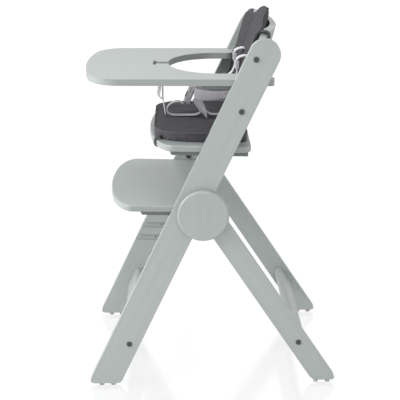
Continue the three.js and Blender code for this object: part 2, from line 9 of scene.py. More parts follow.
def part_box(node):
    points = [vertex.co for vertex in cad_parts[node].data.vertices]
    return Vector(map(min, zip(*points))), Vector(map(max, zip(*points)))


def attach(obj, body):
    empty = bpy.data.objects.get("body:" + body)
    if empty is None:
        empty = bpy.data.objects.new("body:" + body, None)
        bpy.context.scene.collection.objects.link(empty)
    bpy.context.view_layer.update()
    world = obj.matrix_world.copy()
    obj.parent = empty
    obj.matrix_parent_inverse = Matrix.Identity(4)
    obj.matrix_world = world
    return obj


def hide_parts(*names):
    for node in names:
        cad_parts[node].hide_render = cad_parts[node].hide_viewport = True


bl_info = {
    "name": "Wooden High Chair",
    "version": (1, 0, 0),
    "blender": (4, 5, 0),
    "location": "View3D > Sidebar > High Chair",
    "description": "Builds the frame, plates, pads and harness of a wooden baby high chair",
    "category": "Object",
}

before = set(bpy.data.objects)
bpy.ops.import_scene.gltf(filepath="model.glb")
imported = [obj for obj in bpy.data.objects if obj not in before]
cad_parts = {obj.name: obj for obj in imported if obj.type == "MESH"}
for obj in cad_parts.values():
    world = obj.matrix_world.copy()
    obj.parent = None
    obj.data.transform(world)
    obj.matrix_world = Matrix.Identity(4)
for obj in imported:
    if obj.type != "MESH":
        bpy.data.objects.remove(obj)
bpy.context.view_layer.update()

# ---------------------------------------------------------------- measures
MM = 0.001
SIDES = (("left", -1), ("right", 1))
BOARD_LEAN = math.radians(25.75)
LEG_LEAN = math.radians(-33.05)
BACK_TILT = math.radians(15.3)
BACK_FOOT = Vector((0, 69.3, 670.7)) * MM      # lower back bolt, on the shell's side edge
SEAT_TILT = math.radians(1.9)
SEAT_TOP = 0.5871
GRAIN_ACROSS = (0, math.pi / 2, 0)
GROOVES_FROM, GROOVES_TO = 0.05, 0.79          # heights between which the boards have grooves
WHITE = (1, 1, 1, 1)


# ---------------------------------------------------------------- settings a user would change
class ChairFinish(bpy.types.PropertyGroup):
    lacquer: FloatVectorProperty(
        name="Lacquer", description="Grey lacquer of the frame and plates",
        subtype="COLOR", default=(0.372, 0.405, 0.39), min=0, max=1)
    cloth_dark: FloatVectorProperty(
        name="Cloth, dark thread", description="Darker thread of the pads' cloth",
        subtype="COLOR", default=(0.028, 0.0265, 0.031), min=0, max=1)
    cloth_light: FloatVectorProperty(
        name="Cloth, light thread", description="Lighter thread of the pads' cloth",
        subtype="COLOR", default=(0.09, 0.087, 0.1), min=0, max=1)
    webbing: FloatVectorProperty(
        name="Webbing", description="Harness belts",
        subtype="COLOR", default=(0.68, 0.655, 0.7), min=0, max=1)
    edge_round: FloatProperty(
        name="Edge rounding", description="Rounding of the boards' edges",
        subtype="DISTANCE", unit="LENGTH", default=0.0032, min=0.0005, max=0.006)


class PadSizes(bpy.types.PropertyGroup):
    voxel: FloatProperty(
        name="Cloth cell", description="Cell size of the pads' skin before they are inflated",
        subtype="DISTANCE", unit="LENGTH", default=0.005, min=0.003, max=0.01)
    pressure: FloatProperty(
        name="Stuffing", description="Pressure that swells the pads", default=4.0, min=0, max=12)
    swell_cap: FloatProperty(
        name="Most swelling", description="How far a point of a pad may move",
        subtype="DISTANCE", unit="LENGTH", default=0.008, min=0.002, max=0.03)


class StageSettings(bpy.types.PropertyGroup):
    lens: FloatProperty(
        name="Lens", description="Camera focal length on a 36 mm sensor", unit="CAMERA",
        default=105.3, min=20, max=300)
    key_power: FloatProperty(
        name="Key light", description="Large soft light before and above the chair", default=80.0,
        min=0, max=500)
    room: FloatProperty(
        name="Room light", description="Brightness of the pale room", default=0.73, min=0, max=3)


# ---------------------------------------------------------------- shader maths
class Wire:
    """A socket that a node gives out, with sums written as Python expressions."""

    def __init__(self, bench, socket):
        self.bench = bench
        self.socket = socket

    def _sum(self, operation, first, second):
        return self.bench.node("ShaderNodeMath", {"operation": operation}, {0: first, 1: second})

    def __abs__(self):
        return self.bench.node("ShaderNodeMath", {"operation": "ABSOLUTE"}, {0: self})

    def __add__(self, other):
        return self._sum("ADD", self, other)

    __radd__ = __add__

    def __sub__(self, other):
        return self._sum("SUBTRACT", self, other)

    def __rsub__(self, other):
        return self._sum("SUBTRACT", other, self)

    def __mul__(self, other):
        return self._sum("MULTIPLY", self, other)

    __rmul__ = __mul__


class NodeTree:
    """A node tree, and the one call that adds a node to it."""

    def __init__(self, tree):
        self.tree = tree

    def feed(self, socket, value):
        """Links a wire to a socket, or sets the socket's own value."""
        if isinstance(value, Wire):
            self.tree.links.new(value.socket, socket)
        else:
            socket.default_value = value

    def node(self, kind, settings=None, sockets=None, out=0):
        """Adds a node: its settings come first, then the values or links of its sockets."""
        node = self.tree.nodes.new(kind)
        for name, value in (settings or {}).items():
            setattr(node, name, value)
        for name, value in (sockets or {}).items():
            self.feed(node.inputs[name], value)
        return Wire(self, node.outputs[out])

    def seen_or_cast(self, cast, seen, output):
        """Shows one shader to the camera, and lets another light the chair."""
        straight = self.node("ShaderNodeLightPath", out="Is Camera Ray")
        either = self.node("ShaderNodeMixShader", None, {0: straight, 1: cast, 2: seen})
        self.feed(self.tree.nodes[output].inputs["Surface"], either)


class Look(NodeTree):
    """One material and the few calls that fill its node tree."""

    def __init__(self, name):
        self.material = bpy.data.materials.new(name)
        self.material.use_nodes = True
        super().__init__(self.material.node_tree)
        self.shader = self.tree.nodes["Principled BSDF"]

    def place(self, turn=(0, 0, 0), stretch=(1, 1, 1)):
        """Object coordinates, turned and then stretched."""
        at = self.node("ShaderNodeTexCoord", out="Object")
        turned = self.node("ShaderNodeMapping", {"vector_type": "POINT"},
                           {"Vector": at, "Rotation": turn})
        return self.node("ShaderNodeMapping", {"vector_type": "POINT"},
                         {"Vector": turned, "Scale": stretch})

    def noise(self, at, scale, detail=2.0, roughness=0.5):
        return self.node("ShaderNodeTexNoise", None,
                         {"Vector": at, "Scale": scale, "Detail": detail, "Roughness": roughness})

    def spread(self, value, low, high, to_low, to_high):
        """Maps low..high on to to_low..to_high, and holds it there outside."""
        return self.node("ShaderNodeMapRange", {"clamp": True},
                         {"Value": value, "From Min": low, "From Max": high,
                          "To Min": to_low, "To Max": to_high})

    def mix(self, share, first, second, blend="MIX"):
        return self.node("ShaderNodeMix", {"data_type": "RGBA", "blend_type": blend},
                         {0: share, 6: first, 7: second}, out=2)

    def bump(self, height, strength, distance):
        return self.node("ShaderNodeBump", None,
                         {"Height": height, "Strength": strength, "Distance": distance})

    def give(self, **sockets):
        """Feeds the main shader's sockets, named with _ for a space."""
        for name, value in sockets.items():
            self.feed(self.shader.inputs[name.replace("_", " ")], value)
        return self.material


def rgb(colour, gain=1.0):
    return (colour[0] * gain, colour[1] * gain, colour[2] * gain, 1.0)


LOOKS = {}


def look_once(name, make):
    if name not in LOOKS:
        LOOKS[name] = make(name)
    return LOOKS[name]


def lacquer_look(turn, gain=1.0, sideways_shade_gain=1.0):
    """Satin lacquer over wood whose grain runs along Z once turned; faces that look along X can
    take painted shade.
    """

    def make(name):
        finish = bpy.context.scene.chair_finish
        look = Look(name)
        along = look.place(turn, (1, 1, 0.05))
        pores = look.noise(along, 520, 3, 0.6)
        figure = look.noise(along, 70, 3, 0.55)
        cloud = look.noise(look.place(), 7, 2, 0.5)
        tone = look.spread(pores * 0.3 + figure * 0.5 + cloud * 0.2, 0.35, 0.65, 0, 1)
        colour = look.mix(tone, rgb(finish.lacquer, 0.945 * gain),
                          rgb(finish.lacquer, 1.045 * gain))
        # painted shade: faces that look along X are darkened, standing in for the shade on the
        # plates' sides
        if sideways_shade_gain != 1.0:
            facing = look.node("ShaderNodeNewGeometry", out="Normal")
            sideways = look.node("ShaderNodeSeparateXYZ", None, {"Vector": facing}, out="X")
            end = look.spread(abs(sideways), 0.5, 0.95, 0, 1)
            colour = look.mix(end, colour, rgb(finish.lacquer, sideways_shade_gain * gain))
        rough = look.spread(figure, 0.3, 0.7, 0.3, 0.4)
        return look.give(Base_Color=colour, Roughness=rough,
                         Normal=look.bump(pores * 0.7 + figure * 0.3, 0.12, 0.0004))

    return make


THREADS = 1300                                 # threads of the pads' cloth, to the metre


def cloth_look(gain=1.0):
    """Melange weave: two threads crossing, each flecked along its length."""

    def make(name):
        finish = bpy.context.scene.chair_finish
        look = Look(name)
        at = look.place()
        warp = look.noise(look.place(stretch=(1, 0.12, 0.12)), THREADS, 2, 0.6)
        weft = look.noise(look.place(stretch=(0.12, 1, 1)), THREADS, 2, 0.6)
        fleck = look.noise(at, 420, 3, 0.7)
        cloud = look.noise(at, 22, 2, 0.5)
        mix = look.spread(warp * 0.34 + weft * 0.34 + fleck * 0.32, 0.36, 0.64, 0, 1)
        dark, light = rgb(finish.cloth_dark, gain), rgb(finish.cloth_light, gain)
        cloth = look.mix(mix, dark, light)
        tinted = look.mix(look.spread(cloud, 0.3, 0.7, 0.0, 0.25), cloth, light)
        return look.give(Base_Color=tinted, Roughness=look.spread(fleck, 0.3, 0.7, 0.85, 0.97),
                         Normal=look.bump(warp + weft + fleck * 0.5, 0.35, 0.0009),
                         Sheen_Weight=0.04, Sheen_Roughness=0.5)

    return make


def piping_look(name):
    """Twisted cord of the pads' lighter thread."""
    finish = bpy.context.scene.chair_finish
    look = Look(name)
    twist = look.noise(look.place((0.6, 0.4, 0), (1, 1, 0.3)), 900, 2, 0.5)
    colour = look.mix(look.spread(twist, 0.35, 0.65, 0, 1),
                      rgb(finish.cloth_light, 0.8), rgb(finish.cloth_light, 1.25))
    return look.give(Base_Color=colour, Roughness=look.spread(twist, 0.3, 0.7, 0.75, 0.9),
                     Normal=look.bump(twist, 0.3, 0.0006))


def webbing_look(name):
    """Woven belt: fine ribs across it and two darker lines near its edges, on the belt's own UV.
    """
    finish = bpy.context.scene.chair_finish
    look = Look(name)
    uv = look.node("ShaderNodeUVMap", {"uv_map": "belt"})
    split = look.node("ShaderNodeSeparateXYZ", None, {"Vector": uv}, out="X")
    ribs = look.node("ShaderNodeTexWave", {"wave_type": "BANDS", "bands_direction": "Y"},
                     {"Vector": uv, "Scale": 6.0, "Distortion": 1.5, "Detail": 1.0}, out="Fac")
    threads = look.node("ShaderNodeTexWave", {"wave_type": "BANDS", "bands_direction": "X"},
                        {"Vector": uv, "Scale": 4.0, "Distortion": 0.6, "Detail": 1.0}, out="Fac")
    cloud = look.noise(look.place(), 60, 2, 0.5)
    edge = abs(split - 0.5)
    # two darker lines near the belt's edges
    dark_edge_lines = look.spread(edge, 0.36, 0.4, 0, 1) * look.spread(edge, 0.44, 0.48, 1, 0)
    tone = look.spread(ribs * 0.45 + threads * 0.25 + cloud * 0.3, 0.2, 0.8, 0, 1)
    colour = look.mix(tone, rgb(finish.webbing, 0.8), rgb(finish.webbing, 1.12))
    lined = look.mix(dark_edge_lines * 0.3, colour, rgb(finish.webbing, 0.5))
    return look.give(Base_Color=lined, Roughness=look.spread(ribs, 0, 1, 0.62, 0.78),
                     Normal=look.bump(ribs + threads * 0.6, 0.3, 0.0005), Sheen_Weight=0.15)


def plastic_look(colour, roughness, grain=0.1):
    """Moulded plastic with a fine spark-eroded grain."""

    def make(name):
        look = Look(name)
        fine = look.noise(look.place(), 1500, 2, 0.6)
        cloud = look.noise(look.place(), 40, 2, 0.5)
        tone = look.mix(look.spread(cloud, 0.3, 0.7, 0, 1), rgb(colour, 0.94), rgb(colour, 1.05))
        rough = look.spread(fine, 0.3, 0.7, roughness - 0.06, roughness + 0.06)
        return look.give(Base_Color=tone, Roughness=rough, Normal=look.bump(fine, grain, 0.0003))

    return make


def steel_look(name):
    """Dark stove-enamelled steel with a fine uneven skin."""
    look = Look(name)
    fine = look.noise(look.place(), 900, 3, 0.6)
    tone = look.mix(look.spread(fine, 0.35, 0.65, 0, 1), rgb((0.055, 0.06, 0.058)),
                    rgb((0.1, 0.106, 0.103)))
    return look.give(Base_Color=tone, Metallic=look.spread(fine, 0.3, 0.7, 0.35, 0.55),
                     Roughness=look.spread(fine, 0.3, 0.7, 0.38, 0.52),
                     Normal=look.bump(fine, 0.12, 0.0002))


# ---------------------------------------------------------------- mesh helpers
def new_piece(name, bm, material, body, slot, stands_for=()):
    """A finished bmesh becomes an object that rides on a body and takes over CAD nodes."""
    mesh = bpy.data.meshes.new(name)
    bm.normal_update()
    bm.to_mesh(mesh)
    bm.free()
    piece = bpy.data.objects.new(name, mesh)
    bpy.context.scene.collection.objects.link(piece)
    mesh.materials.append(material)
    if body:
        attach(piece, body)
    if stands_for:
        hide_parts(*stands_for)
    return piece


def smooth_by_angle(bm, degrees=32):
    """Shades every face smooth, with a crease where two meet at more than the angle."""
    limit = math.radians(degrees)
    for face in bm.faces:
        face.smooth = True
    for edge in bm.edges:
        edge.smooth = edge.is_manifold and edge.calc_face_angle(0) < limit


def even_normals(piece):
    """Keeps broad flat faces flat beside their rounded edges."""
    weighted = piece.modifiers.new("Even normals", "WEIGHTED_NORMAL")
    weighted.mode = "FACE_AREA"
    weighted.keep_sharp = True
    return piece


def solid_copy(node):
    """The CAD node as clean flat faces, ready for its edges to be rounded."""
    bm = bmesh.new()
    bm.from_mesh(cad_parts[node].data)
    bmesh.ops.remove_doubles(bm, verts=bm.verts, dist=2e-6)
    bmesh.ops.dissolve_limit(bm, angle_limit=math.radians(0.4), use_dissolve_boundaries=False,
                             verts=bm.verts, edges=bm.edges)
    return bm


def sharp_edges(bm, degrees=35, keep=lambda edge: True):
    """The edges where two faces meet at more than the angle, if keep(edge) wants them."""
    return [e for e in bm.edges
            if e.is_manifold and e.calc_face_angle(0) > math.radians(degrees) and keep(e)]


def round_edges(bm, edges, width):
    bmesh.ops.bevel(bm, geom=edges, offset=width, offset_type="OFFSET", segments=3,
                    profile=0.5, affect="EDGES", clamp_overlap=True, material=-1)


def lacquered(node, body, slot, material, width, keep=lambda edge: True):
    """A hard wooden piece: the CAD solid with rounded edges and its own finish."""
    bm = solid_copy(node)
    round_edges(bm, sharp_edges(bm, keep=keep), width)
    smooth_by_angle(bm)
    return even_normals(new_piece(node + "_wood", bm, material, body, slot, [node]))


def bolt_points():
    """Where the bolts' axes stand, seen from the side."""
    return [(sum(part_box(n), Vector()) / 2).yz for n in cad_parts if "bolt" in n]


def clear_of_bolts(edge, points, reach=0.006):
    """True of an edge that isn't the rim of a bolt's hole."""
    middle = (edge.verts[0].co + edge.verts[1].co) / 2
    return all((middle.yz - p).length > reach for p in points)


# ---------------------------------------------------------------- stage
CAMERA_AT = Vector((2.81049, -0.06751, 1.23896))
CAMERA_RIGHT = Vector((0.018556, 0.999789, -0.008778))
CAMERA_DOWN = Vector((0.287439, -0.013744, -0.957700))
CAMERA_AHEAD = Vector((-0.957619, 0.015248, -0.287634))
FLOOR_HALF = 14
TOP_SHARE, FILL_SHARE = 0.28, 0.26             # the other lamps' power, against the key light's


class HIGHCHAIR_OT_stage(bpy.types.Operator):
    """Pale floor, soft studio light and the camera"""

    bl_idname = "highchair.stage"
    bl_label = "Stage"

    def execute(self, context):
        settings = context.scene.chair_stage
        self.floor(context)
        self.room(context, settings.room)
        key = settings.key_power
        self.lamp(context, "key", (0.8, -2.7, 2.0), (0, 0, 0.5), (1.6, 1.4), key)
        self.lamp(context, "top", (0.1, -0.2, 3.2), (0, 0, 0.4), (2.4, 2.4), key * TOP_SHARE)
        self.lamp(context, "fill", (3.5, 0.4, 2.0), (0, 0, 0.45), (2.0, 2.0), key * FILL_SHARE)
        self.camera(context, settings.lens)
        context.scene.view_settings.view_transform = "Standard"
        return {"FINISHED"}

    def floor(self, context):
        """A glossy floor that is seen white, and lights the chair as a grey one does."""
        bm = bmesh.new()
        bmesh.ops.create_grid(bm, x_segments=1, y_segments=1, size=FLOOR_HALF)
        mesh = bpy.data.meshes.new("floor")
        bm.to_mesh(mesh)
        bm.free()
        floor = bpy.data.objects.new("floor", mesh)
        context.scene.collection.objects.link(floor)
        look = Look("pale_floor")
        look.give(Base_Color=(0.1, 0.1, 0.1, 1), Roughness=0.14, IOR=3.2,
                  Emission_Color=WHITE, Emission_Strength=0.725)
        grey = look.node("ShaderNodeBsdfDiffuse", None, {"Color": (0.76, 0.76, 0.76, 1)})
        look.seen_or_cast(grey, Wire(look, look.shader.outputs[0]), "Material Output")
        mesh.materials.append(look.material)

    def room(self, context, strength):
        """A pale room all round, which is seen plain white beyond the floor."""
        world = bpy.data.worlds.new("pale room")
        context.scene.world = world
        world.use_nodes = True
        world.node_tree.nodes.remove(world.node_tree.nodes["Background"])
        room = NodeTree(world.node_tree)
        pale = room.node("ShaderNodeBackground", None, {"Color": WHITE, "Strength": strength})
        white = room.node("ShaderNodeBackground", None, {"Color": WHITE, "Strength": 1.0})
        room.seen_or_cast(pale, white, "World Output")

    def lamp(self, context, name, place, aim, size, power):
        """A rectangular soft lamp at place, turned towards aim."""
        data = bpy.data.lights.new(name, "AREA")
        data.shape = "RECTANGLE"
        data.size, data.size_y = size
        data.energy = power
        light = bpy.data.objects.new(name, data)
        light.location = place
        away = Vector(place) - Vector(aim)
        light.rotation_euler = away.to_track_quat("Z", "Y").to_euler()
        context.scene.collection.objects.link(light)

    def camera(self, context, lens):
        """Seen from the chair's right side, a little above its tray."""
        data = bpy.data.cameras.new("camera")
        data.lens = lens
        data.sensor_width = 36
        data.clip_end = 60
        camera = bpy.data.objects.new("camera", data)
        turn = Matrix((CAMERA_RIGHT, -CAMERA_DOWN, -CAMERA_AHEAD)).transposed().to_4x4()
        camera.matrix_world = Matrix.Translation(CAMERA_AT) @ turn
        context.scene.collection.objects.link(camera)
        context.scene.camera = camera


# ---------------------------------------------------------------- wooden pieces
class HIGHCHAIR_OT_side_frames(bpy.types.Operator):
    """Front boards, rear legs and joint discs with rounded edges"""

    bl_idname = "highchair.side_frames"
    bl_label = "Side frames"

    def execute(self, context):
        width = context.scene.chair_finish.edge_round
        bolts = bolt_points()
        board = look_once("lacquer_board", lacquer_look((BOARD_LEAN, 0, 0)))
        leg = look_once("lacquer_leg", lacquer_look((LEG_LEAN, 0, 0)))
        disc = look_once("lacquer_disc", lacquer_look((0, 0, 0), 0.97))

        def outline(edge):
            # the grooves keep their crisp lips, so only the board's own outline is rounded
            flat = [f for f in edge.link_faces if abs(f.normal.x) < 0.5]
            level = any(abs(f.normal.z) > 0.99 for f in flat)
            height = (edge.verts[0].co.z + edge.verts[1].co.z) / 2
            in_groove = level and GROOVES_FROM < height < GROOVES_TO
            return len(flat) == 1 and not in_groove and clear_of_bolts(edge, bolts)

        for side, _ in SIDES:
            lacquered("front_board_" + side, "frame", "frame_lacquer", board, width, outline)
            lacquered("rear_leg_" + side, "frame", "frame_lacquer", leg, width, outline)
            lacquered("joint_disc_" + side, "frame", "frame_lacquer", disc, width * 1.5,
                      lambda e: clear_of_bolts(e, bolts))
        return {"FINISHED"}


class HIGHCHAIR_OT_plates(bpy.types.Operator):
    """Tray, seat and footrest plates, their runners, the stretchers and the bent back"""

    bl_idname = "highchair.plates"
    bl_label = "Plates and back"

    def execute(self, context):
        width = context.scene.chair_finish.edge_round
        # painted shade: the plates' sides that look along X get their lacquer darkened to 0.8
        across = look_once("lacquer_across_painted_shade", lacquer_look(GRAIN_ACROSS, 1.0, 0.8))
        # painted shade: the runners under the plates take the lacquer darkened to 0.36, standing
        # in for the plates' shadow
        shaded = look_once("lacquer_runner_painted_shade", lacquer_look(GRAIN_ACROSS, 0.36))
        bar = look_once("lacquer_bar", lacquer_look(GRAIN_ACROSS, 0.98))
        bolts = bolt_points()
        lacquered("tray_board", "tray", "plate_lacquer", across, width)
        lacquered("seat_plate", "frame", "plate_lacquer", across, width)
        lacquered("footrest_plate", "footrest", "plate_lacquer", across, width)
        for plate, body in (("tray", "tray"), ("seat", "frame"), ("footrest", "footrest")):
            for side, _ in SIDES:
                lacquered(f"{plate}_runner_{side}", body, "runner", shaded, width * 0.3)
        for end in ("front", "rear"):
            lacquered(end + "_stretcher", "frame", "frame_lacquer", bar, width * 0.4,
                      lambda e: clear_of_bolts(e, bolts))
        lacquered("back_shell", "frame", "frame_lacquer", bar, width * 0.9,
                  lambda e: clear_of_bolts(e, bolts, 0.007) and e.calc_length() > 0.0005)
        return {"FINISHED"}


class HIGHCHAIR_OT_small_hardware(bpy.types.Operator):
    """Domed bolt heads with a round socket, and the moulded glides"""

    bl_idname = "highchair.small_hardware"
    bl_label = "Bolts and glides"

    def bolt(self, length, head, tall):
        """A bolt's profile: its shaft, then a domed head of that radius with its socket."""
        shaft = 0.003
        return [(0, -length), (shaft, -length), (shaft, -tall), (head, -tall),
                (head, -tall * 0.45), (head * 0.93, -tall * 0.14), (head * 0.75, 0),
                (head * 0.42, 0), (head * 0.38, -tall * 0.12), (head * 0.36, -tall * 0.75),
                (0, -tall * 0.85)]

    def glide(self, r, top):
        """A glide's profile: a button with a rounded foot."""
        return [(0, 0), (r * 0.7, 0), (r * 0.86, 0.0005), (r * 0.97, 0.0016),
                (r, 0.003), (r, top), (0, top)]

    def turned(self, name, profile, at, axis, material, slot, stands_for, steps=28):
        """A turned piece: (radius, height) pairs spun round Z, then laid along the axis."""
        bm = bmesh.new()
        verts = [bm.verts.new((r, 0, h)) for r, h in profile]
        edges = [bm.edges.new(pair) for pair in zip(verts, verts[1:])]
        bmesh.ops.spin(bm, geom=verts + edges, cent=(0, 0, 0), axis=(0, 0, 1),
                       angle=math.tau, steps=steps, use_merge=True)
        bmesh.ops.remove_doubles(bm, verts=bm.verts, dist=1e-6)
        bmesh.ops.recalc_face_normals(bm, faces=bm.faces)
        turn = Vector((0, 0, 1)).rotation_difference(Vector(axis)).to_matrix().to_4x4()
        bmesh.ops.transform(bm, matrix=Matrix.Translation(at) @ turn, verts=bm.verts)
        smooth_by_angle(bm, 38)
        return new_piece(name, bm, material, "frame", slot, stands_for)

    def execute(self, context):
        steel = look_once("dark_steel", steel_look)
        pale = look_once("glide_plastic", plastic_look((0.5, 0.52, 0.51), 0.5))
        for node in sorted(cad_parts):
            low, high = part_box(node)
            middle = (low + high) / 2
            if "bolt" in node:
                # the joint's bolts show their heads between the side frames, the others outside
                inner = node.startswith("joint_bolt")
                outward = (1 if middle.x > 0 else -1) * (-1 if inner else 1)
                tip = high.x if outward > 0 else low.x
                head = (high.z - low.z) / 2
                profile = self.bolt(high.x - low.x, head, 0.003 if inner else 0.0022)
                self.turned(node + "_steel", profile, (tip, middle.y, middle.z), (outward, 0, 0),
                            steel, "bolt_head", [node])
            if node.startswith("glide_"):
                profile = self.glide((high.y - low.y) / 2, high.z)
                self.turned(node + "_foot", profile, (middle.x, middle.y, 0), (0, 0, 1),
                            pale, "glide", [node], 24)
        return {"FINISHED"}


# ---------------------------------------------------------------- pads
CLOTH_STEPS = 20
SEAT_DEPTH, BACK_DEPTH = 0.021, 0.013          # before the stuffing swells them
SEAM_REACH = 0.006                             # how far in from its rim a seam holds a pad


def seat_matrix():
    """Stands a pad on the leaning seat plate."""
    return Matrix.Translation((0, 0, SEAT_TOP)) @ Matrix.Rotation(-SEAT_TILT, 4, "X")


def back_matrix():
    """Leans a pad against the back."""
    return Matrix.Translation(BACK_FOOT) @ Matrix.Rotation(-BACK_TILT, 4, "X")


def slab(outline, depth):
    """A flat slab over an outline in X and Y, rising from z = 0 to depth."""
    bm = bmesh.new()
    base = bm.faces.new([bm.verts.new((p.x, p.y, 0)) for p in outline])
    top = bmesh.ops.extrude_face_region(bm, geom=[base])
    verts = [g for g in top["geom"] if isinstance(g, bmesh.types.BMVert)]
    bmesh.ops.translate(bm, vec=(0, 0, depth), verts=verts)
    bmesh.ops.recalc_face_normals(bm, faces=bm.faces)
    return bm


def voxel_skin(bm, name, voxel):
    """The slab as an even skin of small cells, in an object of its own."""
    mesh = bpy.data.meshes.new(name)
    bm.to_mesh(mesh)
    bm.free()
    piece = bpy.data.objects.new(name, mesh)
    bpy.context.scene.collection.objects.link(piece)
    remesh = piece.modifiers.new("Skin", "REMESH")
    remesh.mode = "VOXEL"
    remesh.voxel_size = voxel
    settle(piece)
    return piece


def settle(piece):
    """Applies every modifier on a piece."""
    shape = piece.evaluated_get(bpy.context.evaluated_depsgraph_get())
    mesh = bpy.data.meshes.new_from_object(shape)
    old = piece.data
    piece.modifiers.clear()
    piece.data = mesh
    bpy.data.meshes.remove(old)


def inflate(piece, pressure, cap, pinned):
    """Swells the skin as stuffed cloth, with no point moving more than cap."""
    rest = [v.co.copy() for v in piece.data.vertices]
    group = piece.vertex_groups.new(name="held")
    for v in piece.data.vertices:
        group.add([v.index], pinned(v.co), "REPLACE")
    cloth = piece.modifiers.new("Cloth", "CLOTH")
    cloth.settings.use_pressure = True
    cloth.settings.uniform_pressure_force = pressure
    cloth.settings.effector_weights.gravity = 0
    cloth.settings.vertex_group_mass = group.name
    cloth.settings.tension_stiffness = 20
    cloth.settings.compression_stiffness = 20
    cloth.settings.bending_stiffness = 2
    cloth.point_cache.frame_start = 1
    cloth.point_cache.frame_end = CLOTH_STEPS
    scene = bpy.context.scene
    for step in range(1, CLOTH_STEPS + 1):
        scene.frame_set(step)
    settle(piece)
    scene.frame_set(1)
    for v, old in zip(piece.data.vertices, rest):
        move = v.co - old
        if move.length > cap:
            v.co = old + move * (cap / move.length)
    piece.vertex_groups.clear()


def tuck(piece, pull):
    """Moves each point by pull(co), for channels, seams and sagging sides."""
    for v in piece.data.vertices:
        v.co += pull(v.co)


def finish_pad(piece, material):
    """Smooths a pad by one subdivision and gives it its cloth."""
    piece.data.materials.clear()
    piece.data.materials.append(material)
    sub = piece.modifiers.new("Smooth", "SUBSURF")
    sub.levels = 1
    sub.render_levels = 1
    settle(piece)
    for polygon in piece.data.polygons:
        polygon.use_smooth = True


def cord_round(name, points, radius, material, body, slot, sides=8):
    """A round cord sewn along a closed line, such as piping: small rings bridged in turn."""
    bm = bmesh.new()
    nearly_up = Vector((0.013, 0.09, 1))
    rings = []
    for i, point in enumerate(points):
        along = (points[(i + 1) % len(points)] - points[i - 1]).normalized()
        side = along.cross(nearly_up).normalized()
        lift = side.cross(along)
        verts = [bm.verts.new(point + (side * math.cos(a) + lift * math.sin(a)) * radius)
                 for a in (math.tau * k / sides for k in range(sides))]
        rings.append([bm.edges.new((verts[k], verts[(k + 1) % sides])) for k in range(sides)])
    for first, second in zip(rings, rings[1:] + rings[:1]):
        bmesh.ops.bridge_loops(bm, edges=first + second)
    bmesh.ops.recalc_face_normals(bm, faces=bm.faces)
    for face in bm.faces:
        face.smooth = True
    return new_piece(name, bm, material, body, slot)


def dense_ring(ring, spacing=0.006):
    """The same closed line with its points no further apart than the spacing."""
    dense = []
    for a, b in zip(ring, ring[1:] + ring[:1]):
        parts = max(1, round((b - a).length / spacing))
        dense += [a.lerp(b, i / parts) for i in range(parts)]
    return dense


def corner(cx, cy, radius, start, steps=10):
    """A quarter circle, counter-clockwise from start degrees."""
    return [Vector((cx + radius * math.cos(a), cy + radius * math.sin(a), 0))
            for a in (math.radians(start + 90 * i / steps) for i in range(steps + 1))]


def seat_outline(inset=0.0):
    """The seat pad's plan: wide corners in front, tighter ones at the back."""
    half, front, rear = 0.182 - inset, -0.133 + inset, 0.088 - inset
    wide, tight = 0.072 - inset, 0.032 - inset
    return (corner(half - tight, rear - tight, tight, 0)
            + corner(tight - half, rear - tight, tight, 90)
            + corner(wide - half, front + wide, wide, 180)
            + corner(half - wide, front + wide, wide, 270))


BACK_HALF, BACK_LOW = 0.194, -0.024
BACK_TOP = ((BACK_HALF, 0.139), (0.193, 0.163), (0.186, 0.173), (0.171, 0.1775), (0.14, 0.181),
            (0.1, 0.1875), (0.056, 0.208))
BACK_PEAK = 0.2175


def back_outline(inset=0.0):
    """The back pad's outline, x across and y up: a low arch with a raised middle."""
    tight = 0.026
    right = [Vector((x, y, 0)) for x, y in BACK_TOP]
    left = [Vector((-p.x, p.y, 0)) for p in reversed(right)]
    arch = along_run(right + [Vector((0, BACK_PEAK, 0))] + left, 5)
    outline = (corner(tight - BACK_HALF, BACK_LOW + tight, tight, 180)
               + corner(BACK_HALF - tight, BACK_LOW + tight, tight, 270) + arch)
    middle = Vector((0, 0.09, 0))
    shrink = Vector((1 - inset / BACK_HALF, 1 - inset / 0.12, 1))
    return [middle + (p - middle) * shrink for p in outline]


def rim_distance(co, ring):
    """How far a point is from the pad's outline, seen from above."""
    return min((Vector((co.x, co.y, 0)) - p).length for p in ring)


def crumple(co, size, depth):
    """Soft irregular creases."""
    return depth * (noise.noise(co / size) + 0.5 * noise.noise(co / (size * 0.45)))


def stuffed(name, outline, depth, sizes, seam_hold):
    """A slab of cloth swelled by its stuffing, held along its base and its top seam."""
    ring = dense_ring(outline, 0.004)
    pad = voxel_skin(slab(outline, depth), name, sizes.voxel)

    def held(co):
        if co.z < 0.003:
            return 1.0
        at_seam = co.z > depth * 0.7 and rim_distance(co, ring) < SEAM_REACH
        return seam_hold if at_seam else 0.0

    inflate(pad, sizes.pressure, sizes.swell_cap, held)
    return pad, ring


def dress_pad(pad, cloth, piping, body, stands_for):
    """Gives a pad its cloth, rides it on its body, hides the CAD pad it stands for and sews its
    piping on.
    """
    finish_pad(pad, cloth)
    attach(pad, body)
    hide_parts(stands_for)
    # the piping lies on the pad's own surface, wherever the stuffing has pushed it
    sewn = []
    for point in piping:
        found, at, normal, _ = pad.closest_point_on_mesh(point)
        sewn.append(at + normal * 0.0007 if found else point)
    even = [(sewn[i - 1] + sewn[i] + sewn[(i + 1) % len(sewn)]) / 3 for i in range(len(sewn))]
    cord_round(pad.name + "_piping", even, 0.0014, look_once("pad_piping", piping_look), body,
               "pad_cloth")


# the strap round the seat plate's front corner, in millimetres
CORNER_STRAP = ((149, -106, 605), (153.5, -117, 602), (157, -126, 594), (158.6, -129, 587),
                (158.4, -128.8, 580), (156.5, -126, 574))


